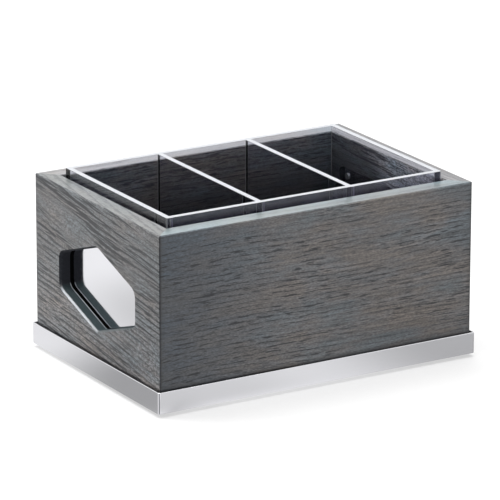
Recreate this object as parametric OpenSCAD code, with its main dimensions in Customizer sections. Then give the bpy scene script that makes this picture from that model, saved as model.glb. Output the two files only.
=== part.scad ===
// Table caddy: a grey oak box on a steel base, with a clear three-compartment bin that lifts out.
// Millimetres. Origin: the centre of the footprint on the table. +Z up, the front faces -Y.

/* [Wood box] */
// Width of the wood box over its outer faces, left to right
box_width = 300; // [280:1:330]
// Depth of the wood box over its outer faces, front to back
box_depth = 208; // [196:1:230]
// Height of the four wood wall panels
panel_height = 133; // [127:1:153]
// Thickness of the four wood wall panels
wall_thickness = 16; // [15:0.5:19]
// Thickness of the wood floor panel
floor_thickness = 8; // [6:0.5:8]
// How far the floor panel runs into the rebates of the walls
floor_rebate = 7; // [5:0.5:8]
// Gap left round the floor panel in its rebates
floor_fit = 0.5; // [0.3:0.1:1]
// Width of the small flat that takes off each outer edge of the wood
edge_ease = 0.8; // [0.4:0.1:1.5]

/* [Corner splines] */
// Thickness of the spline let into each mitred corner
spline_thickness = 3; // [2:0.5:4]
// Width of each spline, half in each panel
spline_width = 13; // [10:0.5:14]
// Length of each spline, up the corner
spline_length = 90; // [60:1:96]
// Height of the lower end of the splines above the underside of the walls
spline_start = 14; // [11:1:18]
// Gap left at the ends and the narrow sides of each spline
spline_fit = 0.4; // [0.3:0.1:0.8]

/* [Hand holes] */
// Width of the six-sided hand hole, front to back
hole_width = 125; // [110:1:132]
// Height of the hand hole, point to point
hole_height = 72; // [62:1:74]
// Height of its two upright sides before the corners are rounded
hole_side_height = 30; // [24:1:34]
// Radius of its rounded corners
hole_corner_radius = 8; // [5:0.5:10]
// Height of the middle of the hole above the underside of the walls
hole_centre_height = 59.5; // [59:0.5:65]
// Width of the bevel round the outer edge of the hole
hole_bevel = 1.5; // [0.8:0.1:2]
// Thickness of wood left in front of the seal
hole_cut_depth = 9.7; // [8.5:0.1:10]

/* [Hand hole plates] */
// Thickness of the polished steel plate behind each hole
plate_thickness = 1.5; // [1:0.1:1.8]
// Thickness of the black seal between plate and wood
seal_thickness = 1.8; // [1:0.1:1.8]
// How far plate and seal run past the hole on every side
plate_margin = 10; // [8:0.5:10]
// Radius of the corners of plate and seal
plate_corner_radius = 5; // [3:0.5:8]
// Gap left round plate and seal in their pocket
plate_fit = 0.5; // [0.3:0.1:1]
// Distance of each plate screw from the edges of the plate
plate_screw_inset = 8; // [6.5:0.5:10]
// Diameter of the plate screw shanks
plate_screw_shank = 2.8; // [2.2:0.1:3.2]
// Diameter of the plate screw heads
plate_screw_head = 5.6; // [5:0.1:6.4]
// Height of the plate screw heads
plate_screw_head_height = 1.2; // [0.8:0.1:1.3]
// How far the plate screws go into the wood
plate_screw_bite = 5; // [3:0.5:6]

/* [Steel base] */
// How far the base stands out past the wood all round
base_overhang = 3; // [2.6:0.1:4]
// Height of the base from its underside to its rim
base_height = 18.5; // [16:0.5:22]
// Thickness of the steel sheet
sheet_thickness = 1.2; // [0.9:0.1:1.5]
// Inner radius of the four upright corners of the base
base_inner_radius = 0.6; // [0.4:0.1:1]
// How far the wood box stands down inside the base, below its rim
wood_sink = 1.8; // [1:0.1:3]
// How far the plinth board is set back from the outer faces of the wood
plinth_setback = 4; // [3:0.5:6]

/* [Feet] */
// Diameter of the rubber feet
foot_diameter = 18; // [15:0.5:22]
// Height of the rubber feet
foot_height = 3; // [2.8:0.1:5]
// Thickness of rubber between the screw head and the base
foot_web = 1.2; // [0.8:0.1:1.3]
// Diameter of the recess for the screw head
foot_recess = 10; // [9.4:0.2:12]
// Distance of each foot from the outer faces of the wood
foot_inset = 26; // [22:1:40]
// Diameter of the foot screw shanks
foot_screw_shank = 4; // [3.5:0.1:4.4]
// Diameter of the foot screw heads
foot_screw_head = 8; // [7.2:0.2:8.6]
// Height of the foot screw heads
foot_screw_head_height = 1.3; // [0.9:0.1:1.4]
// How far the foot screws go into the floor panel
foot_screw_bite = 4.5; // [3:0.5:5]

/* [Clear bin] */
// Thickness of the clear sheet
bin_sheet = 5; // [3:0.5:6]
// Gap between the bin and the end walls of the box, each side
bin_end_gap = 2; // [1:0.5:4]
// Gap between the bin and the front and back walls, each side
bin_front_gap = 3.5; // [1:0.5:5]
// How far the bin stands up past the wood
bin_proud = 7; // [3:0.5:10]

/* [Fits] */
// Gap between a screw shank and its hole, all round
shank_fit = 0.3; // [0.25:0.05:0.5]

/* [Hidden] */
// How far a cutting shape runs past the face it cuts
overlap = 1;
// How much deeper the bevel of the hand hole runs in its corners than along its sides, so that they cross
corner_lead = 0.02;
// Cross slot of the screws: length and width as shares of the head, floor as a share of its height
cross_length = 0.56;
cross_width = 0.12;
cross_floor = 0.45;
// Blunt end of a screw's tip, as a share of the shank
tip_share = 0.25;
// Where a spline crosses its mitre, as a share of the wall counted from outside
spline_share = 0.6;
half_width = box_width / 2;
half_depth = box_depth / 2;
inner_width = box_width - 2 * wall_thickness;
inner_depth = box_depth - 2 * wall_thickness;
base_bottom = foot_height;
base_rim = foot_height + base_height;
wood_bottom = base_rim - wood_sink;
floor_top = wood_bottom + floor_thickness;
wood_top = wood_bottom + panel_height;
base_width = box_width + 2 * base_overhang;
base_depth = box_depth + 2 * base_overhang;
plinth_height = wood_bottom - base_bottom - sheet_thickness;
plinth_width = box_width - 2 * plinth_setback;
plinth_depth = box_depth - 2 * plinth_setback;
floor_width = inner_width + 2 * floor_rebate - 2 * floor_fit;
floor_depth = inner_depth + 2 * floor_rebate - 2 * floor_fit;
plate_width = hole_width + 2 * plate_margin;
plate_height = hole_height + 2 * plate_margin;
plate_screw_x = plate_width / 2 - plate_screw_inset;
plate_screw_z = plate_height / 2 - plate_screw_inset;
seal_face = hole_cut_depth;
plate_face = seal_face + seal_thickness;
plate_back = plate_face + plate_thickness;
spline_middle = spline_share * wall_thickness;
foot_x = half_width - foot_inset;
foot_y = half_depth - foot_inset;
foot_recess_depth = foot_height - foot_web;
foot_screw_length = foot_web + sheet_thickness + plinth_height + foot_screw_bite;
bin_width = inner_width - 2 * bin_end_gap;
bin_depth = inner_depth - 2 * bin_front_gap;
bin_top = wood_top + bin_proud;
bin_height = bin_top - floor_top;
bin_inner_depth = bin_depth - 2 * bin_sheet;
compartment_width = (bin_width - 4 * bin_sheet) / 3;
divider_x = compartment_width / 2 + bin_sheet / 2;
oak = [0.36, 0.37, 0.38];
oak_inside = [0.3, 0.31, 0.32];
pale_wood = [0.7, 0.6, 0.45];
steel = [0.78, 0.78, 0.8];
dark_steel = [0.35, 0.36, 0.38];
black = [0.06, 0.06, 0.07];
clear = [0.85, 0.88, 0.95, 0.35];

// The six corners of the hand hole, counter-clockwise from the lower right
hole_corners = [
    [hole_width / 2, -hole_side_height / 2],
    [hole_width / 2, hole_side_height / 2],
    [0, hole_height / 2],
    [-hole_width / 2, hole_side_height / 2],
    [-hole_width / 2, -hole_side_height / 2],
    [0, -hole_height / 2]
];
function corner(i) = hole_corners[(i + 6) % 6];
function along(a, b) = (b - a) / norm(b - a);
function half_angle(i) = acos(along(corner(i), corner(i - 1)) * along(corner(i), corner(i + 1))) / 2;
function reach(i) = hole_corner_radius / tan(half_angle(i));
function before(i) = corner(i) + along(corner(i), corner(i - 1)) * reach(i);
function after(i) = corner(i) + along(corner(i), corner(i + 1)) * reach(i);
function inward(i) = along([0, 0], along(corner(i), corner(i - 1)) + along(corner(i), corner(i + 1)));
function round_centre(i) = corner(i) + inward(i) * hole_corner_radius / sin(half_angle(i));
function side_angle(i) = atan2(corner(i + 1)[1] - corner(i)[1], corner(i + 1)[0] - corner(i)[0]);
hole_outline = [for (i = [0:5]) for (p = [before(i), round_centre(i), after(i)]) p];

// A flat block with four rounded upright corners, centred, standing on z = 0
module rounded_block(width, depth, height, radius) {
    translate([-width / 2 + radius, -depth / 2, 0])
        cube([width - 2 * radius, depth, height]);
    translate([-width / 2, -depth / 2 + radius, 0])
        cube([width, depth - 2 * radius, height]);
    for (x = [-1, 1])
        for (y = [-1, 1])
            translate([x * (width / 2 - radius), y * (depth / 2 - radius), 0])
                cylinder(h = height, r = radius, $fn = 48);
}

// The rounded six-sided shape of the hand hole as a straight prism along +Z
module hole_prism(height) {
    linear_extrude(height = height)
        polygon(hole_outline);
    for (i = [0:5])
        translate(round_centre(i))
            cylinder(h = height, r = hole_corner_radius, $fn = 64);
}

// The bevel round the outer edge of the hand hole, at 45 degrees, deepest at z = 0
module hole_bevel_cut() {
    for (i = [0:5])
        translate([round_centre(i)[0], round_centre(i)[1], -overlap])
            cylinder(h = hole_bevel + overlap + corner_lead,
                r1 = hole_corner_radius + hole_bevel + overlap + corner_lead,
                r2 = hole_corner_radius, $fn = 64);
    for (i = [0:5])
        translate(before(i + 1))
            rotate([90, 0, side_angle(i) - 90])
                linear_extrude(height = norm(before(i + 1) - after(i)))
                    polygon([[-overlap, -overlap], [hole_bevel + overlap, -overlap],
                        [0, hole_bevel], [-overlap, hole_bevel]]);
}

// One spline, upright in the mitre at the left end of a wall panel; grow widens it for its slot
module spline_block(length, grow) {
    translate([-length / 2 + spline_middle, spline_middle, spline_start - grow])
        rotate([0, 0, -45])
            translate([-spline_width / 2 - grow, -spline_thickness / 2, 0])
                cube([spline_width + 2 * grow, spline_thickness, spline_length + 2 * grow]);
}

// A wall panel mitred at both ends: outer face on y = 0, standing on z = 0
module mitred_panel(length) {
    half = length / 2;
    difference() {
        intersection() {
            linear_extrude(height = panel_height)
                polygon([[-half + edge_ease, 0], [half - edge_ease, 0],
                    [half - edge_ease / 2, edge_ease / 2], [half - wall_thickness, wall_thickness],
                    [-half + wall_thickness, wall_thickness], [-half + edge_ease / 2, edge_ease / 2]]);
            translate([-half, 0, 0])
                rotate([90, 0, 90])
                    linear_extrude(height = length)
                        polygon([[edge_ease, 0], [wall_thickness, 0],
                            [wall_thickness, panel_height - edge_ease],
                            [wall_thickness - edge_ease, panel_height],
                            [edge_ease, panel_height], [0, panel_height - edge_ease], [0, edge_ease]]);
        }
        translate([-half - overlap, wall_thickness - floor_rebate, -overlap])
            cube([length + 2 * overlap, floor_rebate + overlap, floor_thickness + overlap]);
        spline_block(length, spline_fit);
        mirror([1, 0, 0])
            spline_block(length, spline_fit);
    }
}

// An end panel: a mitred panel with the hand hole, the pocket behind it and its screw holes
module end_panel() {
    difference() {
        mitred_panel(box_depth);
        translate([0, 0, hole_centre_height])
            rotate([-90, 0, 0]) {
                translate([0, 0, -overlap])
                    hole_prism(wall_thickness + 2 * overlap);
                hole_bevel_cut();
                translate([0, 0, seal_face])
                    rounded_block(plate_width + 2 * plate_fit, plate_height + 2 * plate_fit,
                        wall_thickness - seal_face + overlap, plate_corner_radius + plate_fit);
                for (x = [-1, 1])
                    for (y = [-1, 1])
                        translate([x * plate_screw_x, y * plate_screw_z, seal_face - plate_screw_bite - shank_fit])
                            cylinder(h = plate_screw_bite + shank_fit + overlap,
                                r = plate_screw_shank / 2 + shank_fit, $fn = 32);
            }
    }
}

// The outline shared by seal and plate, with its screw holes, facing +Y from y = 0
module plate_blank(thickness) {
    difference() {
        rounded_block(plate_width, plate_height, thickness, plate_corner_radius);
        for (x = [-1, 1])
            for (y = [-1, 1])
                translate([x * plate_screw_x, y * plate_screw_z, -overlap])
                    cylinder(h = thickness + 2 * overlap, r = plate_screw_shank / 2 + shank_fit, $fn = 32);
    }
}

// The black seal: the plate outline with the hand hole cut through
module hand_hole_seal() {
    translate([0, seal_face, hole_centre_height])
        rotate([-90, 0, 0])
            difference() {
                plate_blank(seal_thickness);
                translate([0, 0, -overlap])
                    hole_prism(seal_thickness + 2 * overlap);
            }
}

// The polished plate that closes the hand hole
module hand_hole_plate() {
    translate([0, plate_face, hole_centre_height])
        rotate([-90, 0, 0])
            plate_blank(plate_thickness);
}

// A pan-head screw with a cross slot: head underside on z = 0, shank down -Z
module pan_screw(shank, length, head, head_height) {
    difference() {
        cylinder(h = head_height, r = head / 2, $fn = 48);
        for (turn = [0, 90])
            rotate([0, 0, turn])
                translate([-head * cross_length / 2, -head * cross_width / 2, head_height * cross_floor])
                    cube([head * cross_length, head * cross_width, head_height]);
    }
    translate([0, 0, -length + shank / 2])
        cylinder(h = length - shank / 2, r = shank / 2, $fn = 32);
    translate([0, 0, -length])
        cylinder(h = shank / 2, r1 = tip_share * shank / 2, r2 = shank / 2, $fn = 32);
}

// One screw of a hand hole plate; x and z choose the corner
module plate_screw(x, z) {
    translate([x * plate_screw_x, plate_back, hole_centre_height + z * plate_screw_z])
        rotate([-90, 0, 0])
            pan_screw(plate_screw_shank, plate_thickness + seal_thickness + plate_screw_bite,
                plate_screw_head, plate_screw_head_height);
}

// One foot; x and y choose the corner
module rubber_foot(x, y) {
    translate([x * foot_x, y * foot_y, 0])
        difference() {
            cylinder(h = foot_height, r = foot_diameter / 2, $fn = 64);
            translate([0, 0, -overlap])
                cylinder(h = foot_recess_depth + overlap, r = foot_recess / 2, $fn = 48);
            translate([0, 0, -overlap])
                cylinder(h = foot_height + 2 * overlap, r = foot_screw_shank / 2 + shank_fit, $fn = 32);
        }
}

// One foot screw, driven up from below
module foot_screw(x, y) {
    translate([x * foot_x, y * foot_y, foot_recess_depth])
        rotate([180, 0, 0])
            pan_screw(foot_screw_shank, foot_screw_length, foot_screw_head, foot_screw_head_height);
}

// The four upright holes for the foot screws, from z to z + height
module foot_screw_holes(z, height) {
    for (x = [-1, 1])
        for (y = [-1, 1])
            translate([x * foot_x, y * foot_y, z])
                cylinder(h = height, r = foot_screw_shank / 2 + shank_fit, $fn = 32);
}

// Places a piece made for the front of the box at one of the four walls
module at_front() {
    translate([0, -half_depth, wood_bottom])
        children();
}
module at_back() {
    rotate([0, 0, 180])
        at_front()
            children();
}
module at_left() {
    rotate([0, 0, -90])
        translate([0, -half_width, wood_bottom])
            children();
}
module at_right() {
    rotate([0, 0, 90])
        translate([0, -half_width, wood_bottom])
            children();
}

module front_panel() {
    color(oak)
        at_front()
            mitred_panel(box_width);
}
module back_panel() {
    color(oak)
        at_back()
            mitred_panel(box_width);
}
module left_panel() {
    color(oak)
        at_left()
            end_panel();
}
module right_panel() {
    color(oak)
        at_right()
            end_panel();
}
module floor_panel() {
    color(oak_inside)
        difference() {
            translate([-floor_width / 2, -floor_depth / 2, wood_bottom])
                cube([floor_width, floor_depth, floor_thickness]);
            foot_screw_holes(wood_bottom - overlap, foot_screw_bite + shank_fit + overlap);
        }
}
module spline_front_left() {
    color(pale_wood)
        at_front()
            spline_block(box_width, 0);
}
module spline_front_right() {
    color(pale_wood)
        at_right()
            spline_block(box_depth, 0);
}
module spline_back_right() {
    color(pale_wood)
        at_back()
            spline_block(box_width, 0);
}
module spline_back_left() {
    color(pale_wood)
        at_left()
            spline_block(box_depth, 0);
}
module left_seal() {
    color(black)
        at_left()
            hand_hole_seal();
}
module right_seal() {
    color(black)
        at_right()
            hand_hole_seal();
}
module left_plate() {
    color(steel)
        at_left()
            hand_hole_plate();
}
module right_plate() {
    color(steel)
        at_right()
            hand_hole_plate();
}
module left_plate_screw_1() {
    color(dark_steel)
        at_left()
            plate_screw(-1, -1);
}
module left_plate_screw_2() {
    color(dark_steel)
        at_left()
            plate_screw(1, -1);
}
module left_plate_screw_3() {
    color(dark_steel)
        at_left()
            plate_screw(1, 1);
}
module left_plate_screw_4() {
    color(dark_steel)
        at_left()
            plate_screw(-1, 1);
}
module right_plate_screw_1() {
    color(dark_steel)
        at_right()
            plate_screw(-1, -1);
}
module right_plate_screw_2() {
    color(dark_steel)
        at_right()
            plate_screw(1, -1);
}
module right_plate_screw_3() {
    color(dark_steel)
        at_right()
            plate_screw(1, 1);
}
module right_plate_screw_4() {
    color(dark_steel)
        at_right()
            plate_screw(-1, 1);
}
module base_tray() {
    color(steel)
        difference() {
            translate([0, 0, base_bottom])
                rounded_block(base_width, base_depth, base_height, base_inner_radius + sheet_thickness);
            translate([0, 0, base_bottom + sheet_thickness])
                rounded_block(base_width - 2 * sheet_thickness, base_depth - 2 * sheet_thickness,
                    base_height, base_inner_radius);
            foot_screw_holes(base_bottom - overlap, sheet_thickness + 2 * overlap);
        }
}
module plinth_board() {
    color(black)
        difference() {
            translate([-plinth_width / 2, -plinth_depth / 2, base_bottom + sheet_thickness])
                cube([plinth_width, plinth_depth, plinth_height]);
            foot_screw_holes(base_bottom, plinth_height + sheet_thickness + overlap);
        }
}
module foot_front_left() {
    color(black)
        rubber_foot(-1, -1);
}
module foot_front_right() {
    color(black)
        rubber_foot(1, -1);
}
module foot_back_left() {
    color(black)
        rubber_foot(-1, 1);
}
module foot_back_right() {
    color(black)
        rubber_foot(1, 1);
}
module foot_screw_front_left() {
    color(dark_steel)
        foot_screw(-1, -1);
}
module foot_screw_front_right() {
    color(dark_steel)
        foot_screw(1, -1);
}
module foot_screw_back_left() {
    color(dark_steel)
        foot_screw(-1, 1);
}
module foot_screw_back_right() {
    color(dark_steel)
        foot_screw(1, 1);
}
module bin_front() {
    color(clear)
        translate([-bin_width / 2, -bin_depth / 2, floor_top])
            cube([bin_width, bin_sheet, bin_height]);
}
module bin_back() {
    color(clear)
        translate([-bin_width / 2, bin_depth / 2 - bin_sheet, floor_top])
            cube([bin_width, bin_sheet, bin_height]);
}
module bin_left() {
    color(clear)
        translate([-bin_width / 2, -bin_inner_depth / 2, floor_top])
            cube([bin_sheet, bin_inner_depth, bin_height]);
}
module bin_right() {
    color(clear)
        translate([bin_width / 2 - bin_sheet, -bin_inner_depth / 2, floor_top])
            cube([bin_sheet, bin_inner_depth, bin_height]);
}
module bin_floor() {
    color(clear)
        translate([-bin_width / 2 + bin_sheet, -bin_inner_depth / 2, floor_top])
            cube([bin_width - 2 * bin_sheet, bin_inner_depth, bin_sheet]);
}
module divider_left() {
    color(clear)
        translate([-divider_x - bin_sheet / 2, -bin_inner_depth / 2, floor_top + bin_sheet])
            cube([bin_sheet, bin_inner_depth, bin_height - bin_sheet]);
}
module divider_right() {
    color(clear)
        translate([divider_x - bin_sheet / 2, -bin_inner_depth / 2, floor_top + bin_sheet])
            cube([bin_sheet, bin_inner_depth, bin_height - bin_sheet]);
}

front_panel();
back_panel();
left_panel();
right_panel();
floor_panel();
spline_front_left();
spline_front_right();
spline_back_left();
spline_back_right();
left_seal();
right_seal();
left_plate();
right_plate();
left_plate_screw_1();
left_plate_screw_2();
left_plate_screw_3();
left_plate_screw_4();
right_plate_screw_1();
right_plate_screw_2();
right_plate_screw_3();
right_plate_screw_4();
base_tray();
plinth_board();
foot_front_left();
foot_front_right();
foot_back_left();
foot_back_right();
foot_screw_front_left();
foot_screw_front_right();
foot_screw_back_left();
foot_screw_back_right();
bin_front();
bin_back();
bin_left();
bin_right();
bin_floor();
divider_left();
divider_right();
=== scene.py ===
"""Looks of the table caddy: a grey oak box on a stainless base, with a clear bin in it.

All lengths are in metres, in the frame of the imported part: the origin is at the centre
of the footprint, the front looks towards -Y, and the bin lifts out along +Z.
"""

import math

import bmesh
import bpy
from mathutils import Matrix, Vector


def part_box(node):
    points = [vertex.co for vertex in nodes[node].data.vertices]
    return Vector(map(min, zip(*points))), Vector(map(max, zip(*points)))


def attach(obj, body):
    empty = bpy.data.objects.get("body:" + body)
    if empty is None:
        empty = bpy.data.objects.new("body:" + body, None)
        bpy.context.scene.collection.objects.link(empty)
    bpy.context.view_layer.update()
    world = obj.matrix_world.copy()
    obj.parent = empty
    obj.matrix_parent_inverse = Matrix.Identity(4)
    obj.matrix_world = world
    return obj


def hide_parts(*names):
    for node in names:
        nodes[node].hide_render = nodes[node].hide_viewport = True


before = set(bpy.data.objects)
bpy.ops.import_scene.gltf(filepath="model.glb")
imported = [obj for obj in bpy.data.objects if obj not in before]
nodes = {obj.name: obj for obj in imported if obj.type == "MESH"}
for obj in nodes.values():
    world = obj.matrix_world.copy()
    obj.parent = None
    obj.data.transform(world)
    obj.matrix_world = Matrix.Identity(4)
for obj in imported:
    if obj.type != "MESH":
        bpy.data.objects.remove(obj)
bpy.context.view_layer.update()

MM = 0.001
WOOD_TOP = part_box("front_panel")[1].z
OUTER_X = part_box("front_panel")[1].x
OUTER_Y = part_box("left_panel")[1].y
BASE_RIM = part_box("base_tray")[1].z
# the hand hole with its bevel: its middle, and how far it reaches from there, front to
# back and up. The seal behind it runs further out by the same margin on every side
SEAL_MARGIN = 8 * MM
SEAL_LOW, SEAL_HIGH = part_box("left_seal")
HOLE_MIDDLE = (SEAL_LOW.z + SEAL_HIGH.z) / 2
HOLE_REACH_Y = SEAL_HIGH.y - SEAL_MARGIN
HOLE_REACH_Z = SEAL_HIGH.z - HOLE_MIDDLE - SEAL_MARGIN
# how deep the cut wood of the hole runs, from the outer face to the seal
CUT_DEPTH = OUTER_X + SEAL_LOW.x

# ---------------------------------------------------------------- shader tools


class Value:
    """One output of a shader node. Sums, products and powers of it add Math nodes."""

    def __init__(self, finish, socket):
        self.finish = finish
        self.socket = socket

    def _math(self, operation, *numbers):
        return self.finish.add(
            "ShaderNodeMath", {"operation": operation}, dict(enumerate(numbers))
        )

    def __add__(self, other):
        return self._math("ADD", self, other)

    def __sub__(self, other):
        return self._math("SUBTRACT", self, other)

    def __rsub__(self, other):
        return self._math("SUBTRACT", other, self)

    def __mul__(self, other):
        return self._math("MULTIPLY", self, other)

    def __truediv__(self, other):
        return self._math("DIVIDE", self, other)

    def __pow__(self, other):
        return self._math("POWER", self, other)

    __radd__ = __add__
    __rmul__ = __mul__

    def size(self):
        return self._math("ABSOLUTE", self)

    def fraction(self):
        return self._math("FRACT", self)

    def at_least(self, other):
        return self._math("MAXIMUM", self, other)

    def at_most(self, other):
        return self._math("MINIMUM", self, other)

    def ramp(self, low, high, start=0.0, end=1.0):
        """Eases from start to end as the value goes from low to high."""
        return self.finish.add(
            "ShaderNodeMapRange",
            {"interpolation_type": "SMOOTHSTEP"},
            {0: self, 1: low, 2: high, 3: start, 4: end},
        )

    def fade(self, low, high):
        """1 up to low, and eases to 0 at high."""
        return self.ramp(low, high, 1.0, 0.0)


class Finish:
    """A material, or the world, under construction."""

    def __init__(self, name, owner=None):
        self.owner = owner or bpy.data.materials.new(name)
        self.owner.use_nodes = True
        self.tree = self.owner.node_tree
        self.tree.nodes.clear()

    def add(self, kind, settings=None, inputs=None, output=0):
        """Adds a node: its settings first, then the values or links of its sockets."""
        node = self.tree.nodes.new(kind)
        for key, value in (settings or {}).items():
            if key == "stops":
                self.set_stops(node.color_ramp.elements, value)
            else:
                setattr(node, key, value)
        for key, value in (inputs or {}).items():
            socket = node.inputs[key]
            if isinstance(value, Value):
                self.tree.links.new(value.socket, socket)
            elif isinstance(value, tuple) and socket.type == "RGBA":
                socket.default_value = (*value, 1)
            else:
                socket.default_value = value
        if node.outputs:
            return Value(self, node.outputs[output])

    @staticmethod
    def set_stops(elements, stops):
        """Gives a colour ramp its stops: a place from 0 to 1 and a colour each."""
        for spare in list(elements)[1:]:
            elements.remove(spare)
        for number, (place, colour) in enumerate(stops):
            stop = elements[0] if number == 0 else elements.new(place)
            stop.position = place
            stop.color = (*colour, 1)

    def place(self):
        """Where a point of the piece is, in metres in the part's frame."""
        return self.add("ShaderNodeTexCoord", output="Object")

    def facing(self):
        """Which way the surface faces, in the part's frame."""
        return self.add("ShaderNodeTexCoord", output="Normal")

    def parts_of(self, vector):
        split = self.add("ShaderNodeSeparateXYZ", inputs={0: vector})
        outputs = split.socket.node.outputs
        return [Value(self, outputs[axis]) for axis in range(3)]

    def point(self, x, y, z):
        return self.add("ShaderNodeCombineXYZ", inputs={0: x, 1: y, 2: z})

    def turned(self, vector, scale=(1, 1, 1), turn=0.0):
        """The vector scaled along each axis, then turned round Z."""
        inputs = {"Vector": vector, "Scale": scale, "Rotation": (0, 0, turn)}
        return self.add("ShaderNodeMapping", inputs=inputs)

    def noise(self, vector, scale, detail=2.0, roughness=0.5):
        """Noise of about 0 to 1; scale is in waves to the metre along each axis."""
        inputs = {
            "Vector": self.turned(vector, scale),
            "Scale": 1.0,
            "Detail": detail,
            "Roughness": roughness,
        }
        return self.add("ShaderNodeTexNoise", inputs=inputs)

    def grain_noise(self, board, along, across, detail=1.0, roughness=0.5):
        """Noise drawn out along the grain: waves to the metre along and across it."""
        return self.noise(board, (along, across, across), detail, roughness)

    def mix(self, share, first, second, blend="MIX"):
        """A colour between two colours."""
        return self.add(
            "ShaderNodeMix",
            {"data_type": "RGBA", "blend_type": blend},
            {0: share, 6: first, 7: second},
            output=2,
        )

    def colours(self, value, stops):
        return self.add("ShaderNodeValToRGB", {"stops": stops}, {0: value})

    def bump(self, height, depth, strength):
        inputs = {"Height": height, "Distance": depth, "Strength": strength}
        return self.add("ShaderNodeBump", inputs=inputs)

    def light_paths(self, *names):
        """1 for a ray of each named kind, and 0 for any other."""
        outputs = self.add("ShaderNodeLightPath").socket.node.outputs
        return [Value(self, outputs[name]) for name in names]

    def principled(self, **inputs):
        named = {key.replace("_", " "): value for key, value in inputs.items()}
        return self.add("ShaderNodeBsdfPrincipled", inputs=named)

    def done(self, surface):
        kind = "World" if isinstance(self.owner, bpy.types.World) else "Material"
        self.add("ShaderNodeOutput" + kind, inputs={"Surface": surface})
        return self.owner


# ---------------------------------------------------------------- grey oak

# the stain from blue-grey to brown-grey: each tone, and its tint at a lightness of 1
STAIN = {0.38: (0.86, 1.0, 1.1), 0.5: (1.0, 0.98, 1.01), 0.62: (1.15, 1.01, 0.92)}
# how far streaks and patches move the tone, and the tone where they are even
STREAKS, PATCHES, EVEN_TONE = 0.55, 0.6, 0.5
# where the noise of the pores turns from wood to open pore, and the pores' colours
PORE_RIM, FINE_PORE_RIM = (0.66, 0.76), (0.6, 0.72)
PORE, FINE_PORE = (0.016, 0.018, 0.023), (0.035, 0.037, 0.042)
# cut wood that is soaked with stain: where it stands upright, and where it looks up,
# painted lighter there as if lit from above
SOAKED_SIDE = (0.019, 0.021, 0.028)
SOAKED_PAINTED_LIT = (0.032, 0.052, 0.058)
# a painted highlight on the arrises of the hand hole that look up
ARRIS_HIGHLIGHT = (0.5, 0.54, 0.58)
# how much of its darkening a darker end takes in red, green and blue
DARKER_SHARES = (1.15, 1.0, 0.8)
# the darkest that stain and painted shade make a board, as a share of its lightness
LEAST_SHADE = 0.2


def rings_of_board(f, here, turn, heart, taper, lean, ring_gap, eye):
    """How a board is cut from its tree.

    Gives where a point lies along the grain, across it and up through it, the bands of
    early wood at the start of each ring, the share of calm wood with few pores, and the
    crown of dense pores over the eye.
    """
    grain = f.turned(here, turn=turn)
    wander = f.grain_noise(grain, 6, 16, detail=1.5) - 0.5
    ripple = f.grain_noise(grain, 28, 60) - 0.5
    along, across, up = f.parts_of(grain)
    drift = wander * (9 * MM) + ripple * (0.9 * MM)
    calm = f.grain_noise(grain, 8, 26).ramp(0.5, 0.66)
    crown = 0.0
    if eye:
        eye_along, eye_up, reach_along, reach_up, slope = eye
        rise = up + drift - eye_up - (along - eye_along) * slope
        away = ((along - eye_along) / reach_along) ** 2 + (rise / reach_up) ** 2
        away = away ** 0.5
        near_eye = away.fade(0.4, 1.15)
        crown = away.ramp(0.9, 1.2) * away.fade(1.5, 2.4)
        crown = crown * rise.ramp(0.0, 8 * MM, 0.0, 0.1)
        up = up - rise * near_eye * 0.25
        calm = calm.at_least(near_eye * 1.4)
    up = up + along * lean + drift
    across = across + drift * 0.6
    inward = across + along * taper - heart[0]
    ring = (inward ** 2 + (up - heart[1]) ** 2) ** 0.5
    board = f.point(along, across, up)
    phase = ring / ring_gap + f.grain_noise(board, 4, 25) * 1.4
    early = phase.fraction().fade(0.05, 0.6)
    band = early * 0.7 + f.grain_noise(board, 12, 110, detail=2.0) * 0.6
    return board, band, calm, crown


def inner_faces(x, y, nz):
    """1 on what lies over 3 mm inside the outer faces and doesn't look up."""
    within = x.size().fade(OUTER_X - 3 * MM, OUTER_X - 2 * MM)
    within = within * y.size().fade(OUTER_Y - 3 * MM, OUTER_Y - 2 * MM)
    return within * nz.fade(0.3, 0.6)


def cut_of_hand_hole(y, z, nx):
    """1 on the cut faces of a hand hole."""
    inside = y.size().fade(HOLE_REACH_Y, HOLE_REACH_Y + 2 * MM)
    height = (z - HOLE_MIDDLE).size()
    inside = inside * height.fade(HOLE_REACH_Z, HOLE_REACH_Z + 2 * MM)
    return inside * nx.size().fade(0.75, 0.95)


def painted_arris_highlight(x, z, nx, ny, nz):
    """1 where a painted highlight lies on the arrises of a hand hole that look up, and
    less near their low end.
    """
    looks_up = nz.ramp(0.35, 0.6) * ny.fade(0.0, 0.15)
    low_end = HOLE_MIDDLE - HOLE_REACH_Z
    looks_up = looks_up * z.ramp(low_end, low_end + 9 * MM, 0.35, 1.0)
    depth = OUTER_X - x.size()
    outer = nx.size().ramp(0.5, 0.65) * depth.ramp(0.5 * MM, MM, 1.0, 0.15)
    inner = depth.ramp(CUT_DEPTH - 0.9 * MM, CUT_DEPTH - 0.5 * MM)
    return looks_up * outer.at_least(inner)


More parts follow.
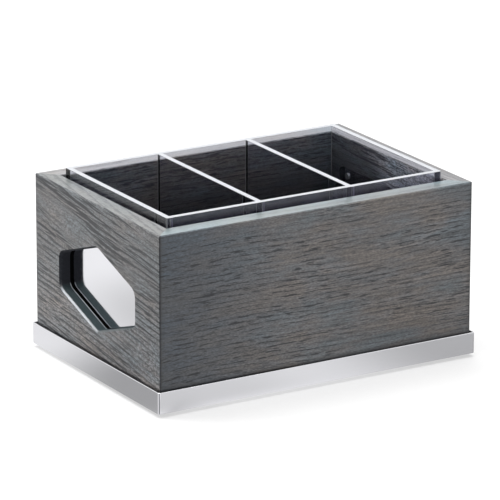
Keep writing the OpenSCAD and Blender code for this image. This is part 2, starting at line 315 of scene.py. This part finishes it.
def grey_oak(
    name,
    turn=0.0,
    heart=(0.03, 0.62),
    taper=0.0,
    lean=0.0,
    ring_gap=4.2 * MM,
    rings=0.18,
    dash=(110, 1000),
    dash_dark=0.6,
    fibres=(16, 600),
    lines=2.0,
    grit=1.0,
    warm=0.5,
    level=0.15,
    rim=(0.4, 0.4, 0.4),
    darker_end=0.0,
    eye=None,
    base_shade_height=4 * MM,
    foot=None,
    inner_rim=0.0,
    lit_within=0.0,
    dark_ends=False,
    hand_hole=False,
):
    """Open-pored oak, stained grey.

    turn brings the grain onto X. heart is where the middle of the tree lay, across the
    board and up it; taper and lean are how its rings run inwards and upwards along the
    board, ring_gap is their spacing and rings how much they show. dash and fibres say
    how many pores and fibres lie in a metre along and across the grain, dash_dark and
    lines how strong they are, and grit how grainy the surface is. warm is the share of
    brown in the stain, level its lightness, rim how much painted light lightens the
    upper edge in red, green and blue (below 0, painted shade darkens it), and darker_end
    how much the board darkens towards its left end. eye is a smooth patch with a crown
    of
    dense pores over it: its middle along and up the board, its reach both ways, and its
    slope. gather is how far up from the base painted shade darkens the wood. foot is how
    much painted light from the floor lightens and browns the board low down, and
    lightens it there at the front. inner_rim is how much lighter the inner half of a
    right board's upper edge is, and lit_within how much painted light lightens its inner
    face towards the front. dark_ends is for the long boards: stain gathers at the
    mitres, and the right end is bluer above and browner below. hand_hole soaks the cut
    faces of the hole and paints a highlight on their arrises that look up.
    """
    f = Finish(name)
    here, facing = f.place(), f.facing()
    x, y, z = f.parts_of(here)
    nx, ny, nz = f.parts_of(facing)
    rim_top = nz.ramp(0.6, 0.95)
    # where a board darkens, its fibres show less and its grit more
    dull_end = x.ramp(-110 * MM, 50 * MM, darker_end * 1.3, 0.0)
    board, band, calm, crown = rings_of_board(
        f, here, turn, heart, taper, lean, ring_gap, eye
    )

    # pores: dark dashes, and finer ones between them
    coarse = f.grain_noise(board, *dash, roughness=0.4)
    fine = f.grain_noise(board, 220, 1700, roughness=0.4)
    fibre = f.grain_noise(board, *fibres, detail=3.0, roughness=0.62) - 0.5
    pores = coarse + band * rings + fibre * (1 - dull_end) * 0.3 + crown
    pores = pores.ramp(*PORE_RIM) * (1 - calm * 0.6).at_least(0.1)
    pores = pores * (1 - rim_top * 0.6)
    fine_pores = (fine + band * 0.1).ramp(*FINE_PORE_RIM)

    # stain: blue-grey to brown-grey in streaks and patches along the grain, of noise
    # that is 0.5 on average
    streak = f.grain_noise(board, 30, 150, detail=4.0, roughness=0.7)
    patch = f.grain_noise(board, 15, 42, detail=2.0)
    average = (STREAKS + PATCHES) / 2 + EVEN_TONE
    tone = streak * STREAKS + patch * PATCHES + (warm - average)
    tone = tone * (1 - rim_top * 0.6) + EVEN_TONE

    # light and dark of the fibres, the grit and the early wood
    grains = f.grain_noise(board, 420, 1100) - 0.5
    texture = fibre * lines * (1 - calm * 0.4) * (1 - dull_end)
    texture = texture + grains * (grit + dull_end)
    shade = 0.97 + texture * (1 - rim_top * 0.7) - band * rings
    darker = x.ramp(-OUTER_X, 0.0, darker_end, 0.0)

    # what differs from board to board
    if foot:
        # painted light from the floor: lighter and browner low down, and lighter still
        # at the front
        lighter_low, lighter_front = foot
        low = z.fade(30 * MM, 120 * MM)
        in_front = y.ramp(-100 * MM, -20 * MM, lighter_front, 0.0)
        tone = tone + (low - 0.6) * lighter_low * 0.15
        shade = shade * (1 + low * lighter_low + low * in_front)
    if dark_ends:
        cool_end = x.ramp(OUTER_X - 40 * MM, OUTER_X - 12 * MM)
        cool_end = cool_end * z.ramp(70 * MM, 110 * MM)
        brown_low = x.ramp(20 * MM, 80 * MM)
        brown_low = brown_low * z.ramp(30 * MM, 48 * MM) * z.fade(60 * MM, 85 * MM)
        tone = tone - cool_end * 0.15 + brown_low * 0.09
        darker = darker + cool_end * 0.16 - brown_low * 0.11
        # the mitres: a soft band, and the dark line of the joint itself
        near_end = x.size()
        shade = shade * near_end.ramp(OUTER_X - 5 * MM, OUTER_X - 2 * MM, 1.0, 0.8)
        shade = shade * near_end.ramp(OUTER_X - 1.9 * MM, OUTER_X - MM, 1.0, 0.45)
    # painted shade: the wood darkens where it stands down in the base
    shade = shade * z.ramp(BASE_RIM, BASE_RIM + base_shade_height, 0.5, 1.0)
    # painted shade: the inner faces are darker the further down they go
    within = inner_faces(x, y, nz)
    deep = z.ramp(WOOD_TOP - 75 * MM, WOOD_TOP - 15 * MM, 0.72, 0.0)
    shade = shade * (1 - within * deep)
    # painted light: the inner face is lighter towards the front and the top
    if lit_within:
        lit = y + (WOOD_TOP - z) * 1.2
        lit = lit.ramp(0.0, 50 * MM, lit_within, -0.2 * lit_within)
        shade = shade * (1 + within * lit)
    shade = shade.at_least(LEAST_SHADE)

    # painted light: the upper edge is lighter, most at the left end, and painted shade
    # makes it darker where a part of rim is below 0
    on_rim = rim_top * z.ramp(WOOD_TOP - 2 * MM, WOOD_TOP)
    painted_rim_light = on_rim * x.ramp(-OUTER_X, OUTER_X, 2.1, 1.0)
    if inner_rim:
        inner_half = x.ramp(OUTER_X - 9 * MM, OUTER_X - 5 * MM, inner_rim, 0.0)
        shade = shade * (1 + on_rim * inner_half)
    darker = darker * (1 - rim_top)
    tints = [
        shade * (1 + painted_rim_light * part) * (1 - darker * share)
        for part, share in zip(rim, DARKER_SHARES)
    ]

    stops = [(at, tuple(level * part for part in tint)) for at, tint in STAIN.items()]
    colour = f.mix(1.0, f.colours(tone, stops), f.point(*tints), "MULTIPLY")
    colour = f.mix(fine_pores * 0.45, colour, FINE_PORE)
    colour = f.mix(pores * dash_dark, colour, PORE)

    # end grain, and the cut faces of the hand hole, take up far more stain
    ends = f.parts_of(f.turned(facing, turn=turn))[0].size()
    soaked = ends.ramp(0.35, 0.95)
    matt = soaked
    if hand_hole:
        cut = cut_of_hand_hole(y, z, nx)
        soaked = soaked.at_least(cut)
        matt = soaked * (1 - nx.size().ramp(0.2, 0.6) * nz.ramp(0.1, 0.4))
    # soaked wood that looks up is painted lighter, as if lit from above
    stained = f.mix(nz.ramp(0.3, 0.8), SOAKED_SIDE, SOAKED_PAINTED_LIT)
    colour = f.mix(soaked * 0.92, colour, stained)
    if hand_hole:
        # a painted highlight on the arrises of the hole that look up
        colour = f.mix(cut * painted_arris_highlight(x, z, nx, ny, nz), colour, ARRIS_HIGHLIGHT)

    height = fibre * 0.5 - pores - fine_pores * 0.4
    surface = f.principled(
        Base_Color=colour,
        Roughness=0.5 + pores * 0.25 + fibre * 0.2 + matt * 0.5,
        Specular_IOR_Level=0.4,
        Coat_Weight=(1 - pores * 0.4) * (1 - matt),
        Coat_Roughness=0.28,
        Normal=f.bump(height, 0.18 * MM, 0.7),
    )
    return f.done(surface)


# ---------------------------------------------------------------- other finishes


def plain_board(name, colour, dark):
    """Sawn board seen only from below or inside."""
    f = Finish(name)
    fibre = f.noise(f.place(), (40, 500, 500), detail=3.0, roughness=0.6)
    surface = f.principled(
        Base_Color=f.mix(fibre, dark, colour),
        Roughness=0.55 + fibre * 0.25,
        Normal=f.bump(fibre, 0.15 * MM, 0.5),
    )
    return f.done(surface)


def spline_ply(ply_thickness=0.8 * MM):
    """Plywood of the corner splines, its plies seen edge on."""
    f = Finish("spline plywood")
    height = f.parts_of(f.place())[2]
    ply = (height / ply_thickness).fraction().ramp(0.4, 0.6)
    fibre = f.noise(f.place(), (300, 300, 60), detail=3.0)
    colour = f.mix(ply, (0.42, 0.3, 0.17), (0.6, 0.46, 0.29))
    colour = f.mix(fibre * 0.4, colour, (0.3, 0.2, 0.11))
    surface = f.principled(
        Base_Color=colour,
        Roughness=0.6 + fibre * 0.2,
        Normal=f.bump(fibre, 0.1 * MM, 0.5),
    )
    return f.done(surface)


def brushed_steel(name, colour, rough, lines, depth, painted_corner_line=False):
    """Steel with a faint grind along X and Y; lines is how much it shows, and depth how
    deep it is. seams paints a dark reflection down the rounding of each upright corner,
    and makes the roundings smoother than the flats."""
    f = Finish(name)
    grind = f.noise(f.place(), (35, 35, 6000), detail=2.0, roughness=0.7)
    cloud = f.noise(f.place(), (18, 18, 18), detail=3.0)
    base = f.mix(grind * lines, colour, tuple(0.72 * part for part in colour))
    base = f.mix(cloud * 0.12, base, (0.6, 0.61, 0.66))
    if painted_corner_line:
        nx, _, nz = f.parts_of(f.facing())
        sideways = nx.size()
        # painted reflection: a dark line down the middle of each upright corner's
        # rounding
        dark_corner_reflection = sideways.ramp(0.3, 0.42) * sideways.fade(0.72, 0.84)
        dark_corner_reflection = dark_corner_reflection * nz.size().fade(0.1, 0.3)
        base = f.mix(dark_corner_reflection * 0.85, base, (0.1, 0.1, 0.12))
        on_flats = sideways.ramp(0.9, 0.98)
        rough = rough * sideways.ramp(0.02, 0.1, 1.0, 0.35).at_least(on_flats)
    surface = f.principled(
        Base_Color=base,
        Metallic=1.0,
        Roughness=rough + grind * 0.06 * lines + cloud * 0.05,
        Normal=f.bump(grind, depth, 0.4),
    )
    return f.done(surface)


def screw_steel():
    f = Finish("screw steel")
    wear = f.noise(f.place(), (900, 900, 900), detail=3.0)
    surface = f.principled(
        Base_Color=f.mix(wear, (0.3, 0.31, 0.33), (0.5, 0.51, 0.53)),
        Metallic=1.0,
        Roughness=0.28 + wear * 0.15,
        Normal=f.bump(wear, 0.02 * MM, 0.4),
    )
    return f.done(surface)


def rubber(name, level, shine=0.5):
    """Black rubber with fine specks; level is its lightness."""
    f = Finish(name)
    speck = f.noise(f.place(), (1800, 1800, 1800))
    dark, light = ((level * part,) * 3 for part in (0.8, 1.5))
    surface = f.principled(
        Base_Color=f.mix(speck, dark, light),
        Roughness=0.62 + speck * 0.2,
        Specular_IOR_Level=shine,
        Normal=f.bump(speck, 0.04 * MM, 0.5),
    )
    return f.done(surface)


# the clear sheet where it is clean and where it is hazed, the dark and light of its
# sawn edges, and the painted lavender sheen on its front
CLEAR, HAZED = (0.94, 0.95, 1.0), (0.86, 0.89, 0.98)
SAWN_DARK, SAWN_LIGHT = (0.5, 0.515, 0.55), (0.72, 0.735, 0.77)
LAVENDER_SHEEN = (0.5, 0.48, 0.72)
SHEET_IOR = 1.49


def clear_sheet(top, front_inner, joints):
    """Clear sheet with faint wipe marks and a painted lavender sheen on its front.

    Its sawn top edges are satin and catch light, and so do its eased corners and the
    cement lines of the dividers in the front sheet: joints are the places of those
    along X, and front_inner is the back of that sheet.
    """
    f = Finish("clear sheet")
    x, y, z = f.parts_of(f.place())
    nx, ny, nz = f.parts_of(f.facing())
    haze = f.noise(f.place(), (60, 60, 22), detail=3.0, roughness=0.6)
    scratch = f.noise(f.place(), (900, 900, 40))
    clear = f.principled(
        Base_Color=f.mix(haze * 0.3, CLEAR, HAZED),
        Roughness=haze.ramp(0.5, 0.8, 0.0, 0.05),
        IOR=SHEET_IOR,
        Transmission_Weight=1.0,
        Normal=f.bump(scratch, 0.01 * MM, 0.12),
    )
    # the outside of the front sheet, without its top edge
    outside = ny.fade(-0.95, -0.8) * y.fade(front_inner - 3 * MM, front_inner - 2 * MM)
    outside = outside * (1 - nz.ramp(0.1, 0.3))
    saw = f.noise(f.place(), (1500, 1500, 1500))
    streak = f.noise(f.place(), (90, 90, 90))
    sawn = f.mix(saw * 0.6 + streak * 0.4, SAWN_DARK, SAWN_LIGHT)
    satin = f.principled(
        Base_Color=f.mix(outside, sawn, LAVENDER_SHEEN),
        Roughness=0.3 + saw * 0.15,
        IOR=SHEET_IOR,
        Normal=f.bump(saw, 0.02 * MM, 0.5),
    )
    # how much of the satin shows in each place
    edge = nz.ramp(0.3, 0.7) * z.ramp(top - 1.0 * MM, top - 0.5 * MM) * 0.85
    corner = (nx * ny).size().ramp(0.1, 0.3) * 0.4
    cement = (x - joints[0]).size()
    for joint in joints[1:]:
        cement = cement.at_most((x - joint).size())
    cement = cement.ramp(0.35 * MM, 0.7 * MM, 0.4, 0.0)
    cement = cement * y.fade(front_inner - 0.5 * MM, front_inner - 0.1 * MM)
    # painted sheen: a faint lavender over the front, more where it is hazed
    painted_sheen = outside * haze.ramp(0.3, 0.7, 0.06, 0.14)
    share = edge.at_least(corner).at_least(cement).at_least(painted_sheen)
    mixed = f.add("ShaderNodeMixShader", inputs={0: share, 1: clear, 2: satin})
    return f.done(mixed)


# ---------------------------------------------------------------- pieces


def dress(node, finish):
    """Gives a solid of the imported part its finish."""
    materials = nodes[node].data.materials
    materials.clear()
    materials.append(finish)


def piece_from(work, name, finish, body, slot, *stands_for):
    """Turns a finished bmesh into a piece that rides on its body, in place of nodes."""
    mesh = bpy.data.meshes.new(name)
    work.to_mesh(mesh)
    work.free()
    mesh.materials.append(finish)
    piece = bpy.data.objects.new(name, mesh)
    bpy.context.scene.collection.objects.link(piece)
    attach(piece, body)
    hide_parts(*stands_for)


def block(low, high):
    """A bmesh block between two corners."""
    work = bmesh.new()
    bmesh.ops.create_cube(work, size=1.0)
    size = [b - a for a, b in zip(low, high)]
    bmesh.ops.scale(work, vec=size, verts=work.verts)
    middle = [(a + b) / 2 for a, b in zip(low, high)]
    bmesh.ops.translate(work, vec=middle, verts=work.verts)
    return work


def ease(work, edges, width, segments=2):
    """Rounds edges over, width to each side."""
    bmesh.ops.bevel(
        work,
        geom=edges,
        offset=width,
        segments=segments,
        profile=0.5,
        affect="EDGES",
        material=-1,
    )


def sharp_edges(work, least=30):
    """The edges where two faces meet at more than least degrees off flat."""
    return [
        edge
        for edge in work.edges
        if len(edge.link_faces) == 2 and edge.calc_face_angle(0) > math.radians(least)
    ]


def merge_flats(work, angle):
    """Joins faces that lie flat to each other, and points all faces outwards."""
    bmesh.ops.dissolve_limit(
        work, angle_limit=angle, verts=work.verts, edges=work.edges
    )
    bmesh.ops.recalc_face_normals(work, faces=work.faces)


def eased_tray(finish):
    """The steel base with the edges of its rim and of its underside rounded over."""
    work = bmesh.new()
    work.from_mesh(nodes["base_tray"].data)
    bmesh.ops.remove_doubles(work, verts=work.verts, dist=0.001 * MM)
    merge_flats(work, 0.001)
    low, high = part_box("base_tray")
    hair = 0.01 * MM
    rims = [
        edge
        for edge in sharp_edges(work)
        if all(vert.co.z > high.z - hair for vert in edge.verts)
        or all(vert.co.z < low.z + hair for vert in edge.verts)
    ]
    ease(work, rims, 0.5 * MM, segments=3)
    # narrow faces are roundings, and are shaded smooth
    for face in work.faces:
        face.smooth = face.calc_area() < face.calc_perimeter() * MM
    piece_from(work, "steel_tray", finish, "box", "stainless_base", "base_tray")


def bonded_bin(finish):
    """The seven bonded sheets of the bin as one clear piece with three pockets."""
    dividers = ["divider_left", "divider_right"]
    names = ["bin_front", "bin_back", "bin_left", "bin_right", "bin_floor"] + dividers
    low = Vector(min(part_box(n)[0][axis] for n in names) for axis in range(3))
    high = Vector(max(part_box(n)[1][axis] for n in names) for axis in range(3))
    work = block(low, high)

    def top_faces():
        return [face for face in work.faces if face.normal.z > 0.9]

    # the pockets are drawn on the top, and pressed down to the floor
    cuts_x = [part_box("bin_left")[1].x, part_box("bin_right")[0].x]
    for divider in dividers:
        cuts_x += [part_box(divider)[0].x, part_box(divider)[1].x]
    cuts_y = [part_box("bin_front")[1].y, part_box("bin_back")[0].y]
    cuts = [((x, 0, 0), (1, 0, 0)) for x in cuts_x]
    cuts += [((0, y, 0), (0, 1, 0)) for y in cuts_y]
    for point, direction in cuts:
        top = top_faces()
        # each edge and corner once, in a fixed order
        around = dict.fromkeys(edge for face in top for edge in face.edges)
        corners = dict.fromkeys(vert for face in top for vert in face.verts)
        bmesh.ops.bisect_plane(
            work, geom=[*top, *around, *corners], plane_co=point, plane_no=direction
        )
    openings = sorted(cuts_x)
    floor_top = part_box("bin_floor")[1].z
    for left, right in zip(openings[0::2], openings[1::2]):
        mouth = [
            face
            for face in top_faces()
            if left < face.calc_center_median().x < right
            and cuts_y[0] < face.calc_center_median().y < cuts_y[1]
        ]
        sunk = bmesh.ops.extrude_face_region(work, geom=mouth)["geom"]
        bmesh.ops.delete(work, geom=mouth, context="FACES_ONLY")
        lowered = [part for part in sunk if isinstance(part, bmesh.types.BMVert)]
        bmesh.ops.translate(work, vec=(0, 0, floor_top - high.z), verts=lowered)
    merge_flats(work, 0.01)

    # the four outer corners are rounded, and every other sharp edge is eased
    upright = 100 * MM
    corners = [
        edge
        for edge in sharp_edges(work)
        if abs(edge.verts[0].co.z - edge.verts[1].co.z) > upright
        and abs(edge.verts[0].co.x) > high.x - MM
        and abs(edge.verts[0].co.y) > high.y - MM
    ]
    ease(work, corners, 1.6 * MM, segments=4)
    ease(work, sharp_edges(work, least=50), 0.35 * MM)
    piece_from(work, "clear_bin", finish, "bin", "clear_sheet", *names)


# ---------------------------------------------------------------- the object

END_TURN = math.radians(-90)
oak_front = grey_oak(
    "grey oak, front",
    lean=0.004,
    dash=(85, 1250),
    dash_dark=0.85,
    fibres=(14, 700),
    lines=2.5,
    grit=1.3,
    warm=0.515,
    level=0.168,
    rim=(0.25, 0.45, 0.46),
    darker_end=0.56,
    dark_ends=True,
)
oak_back = grey_oak(
    "grey oak, back",
    heart=(0.05, -0.42),
    lean=-0.006,
    ring_gap=3.9 * MM,
    dash=(100, 950),
    dash_dark=0.7,
    lines=2.6,
    grit=1.3,
    warm=0.53,
    level=0.155,
    dark_ends=True,
)
oak_left = grey_oak(
    "grey oak, left end",
    turn=END_TURN,
    heart=(0.09, 0.21),
    taper=0.05,
    lean=-0.1,
    ring_gap=4.6 * MM,
    rings=0.3,
    dash=(50, 1050),
    dash_dark=0.95,
    fibres=(16, 640),
    lines=1.5,
    grit=4.0,
    warm=0.475,
    level=0.125,
    rim=(0.32, 0.32, 0.26),
    foot=(0.45, 0.65),
    eye=(55 * MM, 126 * MM, 60 * MM, 14 * MM, 0.22),
    base_shade_height=1.4 * MM,
    hand_hole=True,
)
oak_right = grey_oak(
    "grey oak, right end",
    turn=END_TURN,
    heart=(-0.3, 0.05),
    taper=-0.04,
    lean=-0.04,
    ring_gap=4.3 * MM,
    rings=0.24,
    dash=(55, 1000),
    dash_dark=0.88,
    lines=1.8,
    grit=3.2,
    level=0.16,
    rim=(-0.24, -0.24, -0.21),
    inner_rim=0.75,
    lit_within=2.0,
    hand_hole=True,
)
oak_floor = grey_oak(
    "grey oak, floor", heart=(0.02, 0.3), ring_gap=5 * MM, warm=0.45, level=0.1
)
steel_base = brushed_steel(
    "stainless base",
    colour=(0.82, 0.82, 0.85),
    rough=0.2,
    lines=0.25,
    depth=0.01 * MM,
    painted_corner_line=True,
)
steel_plate = brushed_steel(
    "polished plate",
    colour=(0.86, 0.86, 0.89),
    rough=0.05,
    lines=0.08,
    depth=0.002 * MM,
)
steel_screws = screw_steel()
black_foot = rubber("foot rubber", level=0.03)
black_seal = rubber("black seal", level=0.003, shine=0.0)
black_board = plain_board(
    "black board", colour=(0.03, 0.03, 0.032), dark=(0.012, 0.012, 0.013)
)
pale_ply = spline_ply()

dress("front_panel", oak_front)
dress("back_panel", oak_back)
dress("left_panel", oak_left)
dress("right_panel", oak_right)
dress("floor_panel", oak_floor)
dress("plinth_board", black_board)
eased_tray(steel_base)
for node in nodes:
    if node.startswith("spline_"):
        dress(node, pale_ply)
    elif node.endswith("_seal"):
        dress(node, black_seal)
    elif node.endswith("_plate"):
        dress(node, steel_plate)
    elif "screw" in node:
        dress(node, steel_screws)
    elif node.startswith("foot_"):
        dress(node, black_foot)

front_sheet_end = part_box("bin_front")[1]
uprights = ("divider_left", "divider_right", "bin_left", "bin_right")
joints = [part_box(name)[1].x for name in uprights]
bonded_bin(clear_sheet(front_sheet_end.z, front_sheet_end.y, joints))

# ---------------------------------------------------------------- studio

WHITE = (1.0, 1.0, 1.0)
# the floor, and what it adds for rays that see it, so that it is white in the picture
FLOOR_GREY = (0.55, 0.55, 0.55)
FLOOR_GLOW = 0.45
# the darkest that metal shows the floor
LEAST_MIRRORED = 0.3


def seen_rays(f):
    """1 where the camera, a reflection or clear sheet looks straight at a surface."""
    camera, mirror, through = f.light_paths(
        "Is Camera Ray", "Is Glossy Ray", "Is Transmission Ray"
    )
    return camera.at_least(mirror).at_least(through)


def soft_grey(x, y, middle, reach, fade, depth):
    """A round soft grey painted on the floor for reflections only, with depth in its
    middle.

    reach is how far it goes along X and Y, and fade where it starts and ends fading, as
    shares of its reach.
    """
    away = ((x - middle[0]) / reach[0]) ** 2 + ((y - middle[1]) / reach[1]) ** 2
    return (away ** 0.5).ramp(*fade, depth, 0.0)


def mirrored_floor(f):
    """What metal shows of the floor: white, with painted soft greys that only
    reflections show.
    """
    x, y, _ = f.parts_of(f.place())
    left = soft_grey(
        x, y, middle=(-0.19, -0.045), reach=(0.11, 0.175), fade=(0.25, 0.94), depth=0.57
    )
    # the rounded near corner looks past that grey
    left = left * (y + x * 0.85 + 0.235).ramp(-0.004, 0.004)
    right = soft_grey(
        x, y, middle=(0.19, -0.14), reach=(0.2, 0.2), fade=(0.25, 0.98), depth=0.47
    )
    beyond = soft_grey(
        x, y, middle=(-0.28, 0.075), reach=(0.08, 0.15), fade=(0.5, 1.35), depth=0.31
    )
    # a strip along the front, which fades to the right
    near = x.ramp(-0.165, -0.15, 0.0, 0.22) * x.fade(-0.07, 0.06)
    near = near * y.ramp(-0.2, -0.16) * y.fade(-0.13, -0.11)
    return (1 - left - right - beyond - near).at_least(LEAST_MIRRORED)


def studio_floor():
    work = bmesh.new()
    bmesh.ops.create_grid(work, x_segments=1, y_segments=1, size=6.0)
    mesh = bpy.data.meshes.new("studio_floor")
    work.to_mesh(mesh)
    work.free()
    f = Finish("studio floor")
    pale = f.add("ShaderNodeBsdfDiffuse", inputs={"Color": FLOOR_GREY})
    glow = f.add("ShaderNodeEmission", inputs={"Strength": seen_rays(f) * FLOOR_GLOW})
    seen = f.add("ShaderNodeAddShader", inputs={0: pale, 1: glow})
    mirrored = f.add("ShaderNodeEmission", inputs={"Strength": mirrored_floor(f)})
    mirror = f.light_paths("Is Glossy Ray")[0]
    both = f.add("ShaderNodeMixShader", inputs={0: mirror, 1: seen, 2: mirrored})
    mesh.materials.append(f.done(both))
    floor = bpy.data.objects.new("studio_floor", mesh)
    bpy.context.scene.collection.objects.link(floor)


def studio_world(level):
    """A white room that lights the object at level."""
    world = bpy.data.worlds.new("studio")
    bpy.context.scene.world = world
    f = Finish("studio", world)
    strength = seen_rays(f).ramp(0.0, 1.0, level, 1.0)
    f.done(f.add("ShaderNodeBackground", inputs={0: WHITE, 1: strength}))


def lamp(name, place, target, side, power):
    """A square soft light that looks at its target."""
    light = bpy.data.lights.new(name, "AREA")
    light.shape = "RECTANGLE"
    light.size = side
    light.size_y = side
    light.energy = power
    holder = bpy.data.objects.new(name, light)
    aim = (Vector(target) - Vector(place)).to_track_quat("-Z", "Y")
    holder.matrix_world = Matrix.LocRotScale(Vector(place), aim, None)
    bpy.context.scene.collection.objects.link(holder)


# the photograph's own view: a long lens, from the front left and a little above
CAMERA_PLACE = (-1.8285, -3.0252, 1.1975)
CAMERA_TURN = math.radians(-31.11)
CAMERA_RISE = math.radians(17.407)
CAMERA_ROLL = math.radians(0.122)
CAMERA_LENS = 318.6


def studio_camera():
    back = Vector(
        (
            math.sin(CAMERA_TURN) * math.cos(CAMERA_RISE),
            -math.cos(CAMERA_TURN) * math.cos(CAMERA_RISE),
            math.sin(CAMERA_RISE),
        )
    )
    right = Vector((math.cos(CAMERA_TURN), math.sin(CAMERA_TURN), 0))
    up = back.cross(right)
    right, up = (
        right * math.cos(CAMERA_ROLL) + up * math.sin(CAMERA_ROLL),
        up * math.cos(CAMERA_ROLL) - right * math.sin(CAMERA_ROLL),
    )
    camera = bpy.data.objects.new("camera", bpy.data.cameras.new("camera"))
    place = Matrix((right, up, back)).transposed().to_4x4()
    place.translation = Vector(CAMERA_PLACE)
    camera.matrix_world = place
    camera.data.sensor_width = 36
    camera.data.lens = CAMERA_LENS
    camera.data.clip_end = 50
    bpy.context.scene.collection.objects.link(camera)
    bpy.context.scene.camera = camera


studio_floor()
studio_world(level=0.45)
lamp("key lamp", (-1.5, 1.4, 2.0), target=(0, 0, 0.08), side=1.2, power=22)
lamp("top lamp", (0.0, 0.3, 2.6), target=(0, 0, 0.1), side=1.8, power=66)
studio_camera()
bpy.context.scene.view_settings.view_transform = "Standard"
